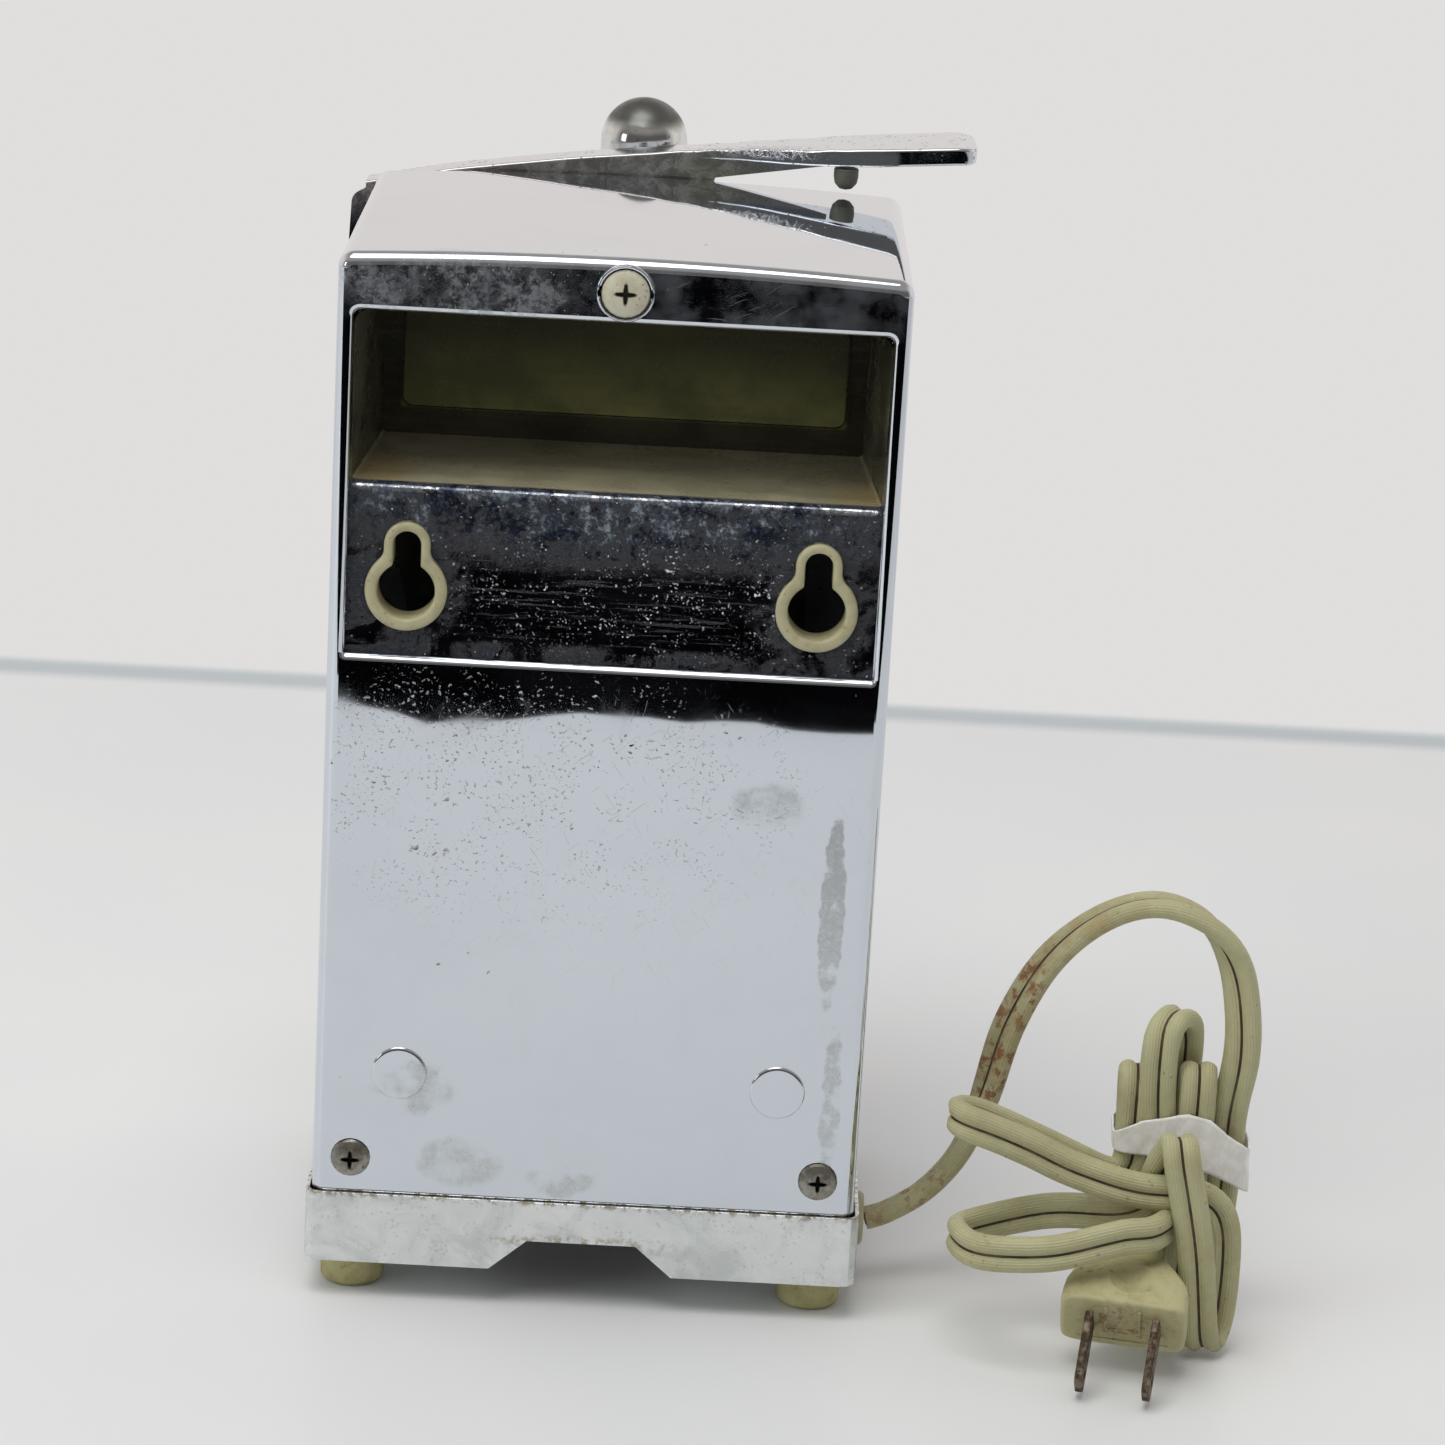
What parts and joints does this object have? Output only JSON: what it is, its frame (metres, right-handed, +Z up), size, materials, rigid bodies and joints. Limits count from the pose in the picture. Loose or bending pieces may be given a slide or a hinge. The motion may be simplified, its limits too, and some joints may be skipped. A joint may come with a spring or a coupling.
{
  "type": "electric can opener",
  "caption": "Upright electric can opener with a chrome wrap-round shell, rear finger pocket and wall keyholes, piercing lever with lid magnet, motor and gear train, and a tied flat mains cord.",
  "frame": {"origin": "on the standing surface, under the middle of the machine without its cord, plug and hank", "axes": "+Z up, +Y out of the back face (keyholes and finger pocket), -Y towards the cutter and the user, +X to the right seen from the front"},
  "size_m": [0.1878, 0.1613, 0.2173],
  "materials": {
    "chrome": "bright chrome plating, scratched and water-marked",
    "satin_steel": "satin nickel-plated steel",
    "zinc": "dull zinc-plated sheet",
    "dark_steel": "darkened steel",
    "cream_plastic": "aged cream moulding",
    "putty_rubber": "matt putty-coloured rubber",
    "grey_rubber": "matt grey rubber",
    "lamination": "varnished steel laminations",
    "copper": "enamelled copper wire",
    "bronze": "oil-filled sintered bronze",
    "nylon": "natural nylon",
    "black_plastic": "black phenolic",
    "magnet": "sintered magnet",
    "cord": "aged putty-beige vinyl",
    "tie": "plain white tie strip",
    "brass": "tarnished brass blades"
  },
  "bodies": {
    "housing": {"base_pan": "satin_steel", "cord_front_fold": "cord", "cord_hank": "cord", "cord_lead": "cord", "cord_lower_loop": "cord", "cord_plug_lead": "cord", "cord_tie": "tie", "cord_upper_bight": "cord", "field_coil": "copper", "first_arbor": "satin_steel", "foot_front_left": "putty_rubber", "foot_front_right": "putty_rubber", "foot_rear_left": "putty_rubber", "foot_rear_right": "putty_rubber", "front_bearing": "bronze", "front_frame": "zinc", "front_panel": "satin_steel", "gear_plate": "zinc", "guide_post_left": "chrome", "guide_post_right": "chrome", "hand_pocket": "chrome", "keyhole_bush_left": "cream_plastic", "keyhole_bush_right": "cream_plastic", "lever_bushing": "bronze", "lower_screw_left": "dark_steel", "lower_screw_right": "dark_steel", "plug_blade_left": "brass", "plug_blade_right": "brass", "plug_body": "cord", "rear_bearing": "bronze", "rear_bearing_bracket": "zinc", "rear_shell": "chrome", "second_arbor": "satin_steel", "shaft_bushing": "bronze", "stator_core": "lamination", "strain_relief": "cream_plastic", "switch_body": "black_plastic", "top_screw": "cream_plastic", "top_screw_washer": "chrome"},
    "rotor": {"rotor": "lamination", "rotor_shaft": "satin_steel", "cooling_fan": "nylon"},
    "first_gear": {"first_gear": "nylon"},
    "second_gear": {"second_gear": "satin_steel"},
    "feed": {"drive_gear": "satin_steel", "drive_shaft": "satin_steel", "feed_wheel": "satin_steel"},
    "lever": {"lever": "chrome", "lever_pivot_shaft": "satin_steel", "lever_bumper": "grey_rubber", "switch_cam": "zinc", "cutter_screw": "satin_steel", "magnet_pin": "satin_steel"},
    "cutter": {"cutter_wheel": "satin_steel"},
    "magnet_arm": {"magnet_arm": "chrome", "magnet_cup": "chrome", "lid_magnet": "magnet"},
    "switch_plunger": {"switch_plunger": "cream_plastic"}
  },
  "joints": [
    {"name": "lever_pivot", "type": "hinge", "parent": "housing", "child": "lever", "pos_m": [0.0485, -0.02474, 0.193], "axis": [0, 1, 0], "range_deg": [0, 35]},
    {"name": "cutter_spin", "type": "hinge", "parent": "lever", "child": "cutter", "pos_m": [0.0045, -0.03944, 0.1905], "axis": [0, 1, 0], "continuous": true},
    {"name": "magnet_hinge", "type": "hinge", "parent": "lever", "child": "magnet_arm", "pos_m": [0.0045, -0.03644, 0.204], "axis": [-1, 0, 0], "range_deg": [0, 50]},
    {"name": "rotor_spin", "type": "hinge", "parent": "housing", "child": "rotor", "pos_m": [0.0045, 0.01756, 0.10406], "axis": [0, 1, 0], "continuous": true},
    {"name": "first_gear_spin", "type": "hinge", "parent": "housing", "child": "first_gear", "pos_m": [-0.0015, -0.00644, 0.12528], "axis": [0, 1, 0], "continuous": true},
    {"name": "second_gear_spin", "type": "hinge", "parent": "housing", "child": "second_gear", "pos_m": [0.0125, -0.01044, 0.14569], "axis": [0, 1, 0], "continuous": true},
    {"name": "feed_spin", "type": "hinge", "parent": "housing", "child": "feed", "pos_m": [0.0045, -0.02344, 0.172], "axis": [0, 1, 0], "continuous": true},
    {"name": "switch_press", "type": "slide", "parent": "housing", "child": "switch_plunger", "axis": [0, 0, -1], "range_m": [0, 0.0015], "stiffness_N_per_m": 400}
  ],
  "couplings": [
    {"joint": "first_gear_spin", "follows": "rotor_spin", "ratio": -0.16667},
    {"joint": "second_gear_spin", "follows": "rotor_spin", "ratio": 0.037037},
    {"joint": "feed_spin", "follows": "rotor_spin", "ratio": -0.0092593}
  ]
}
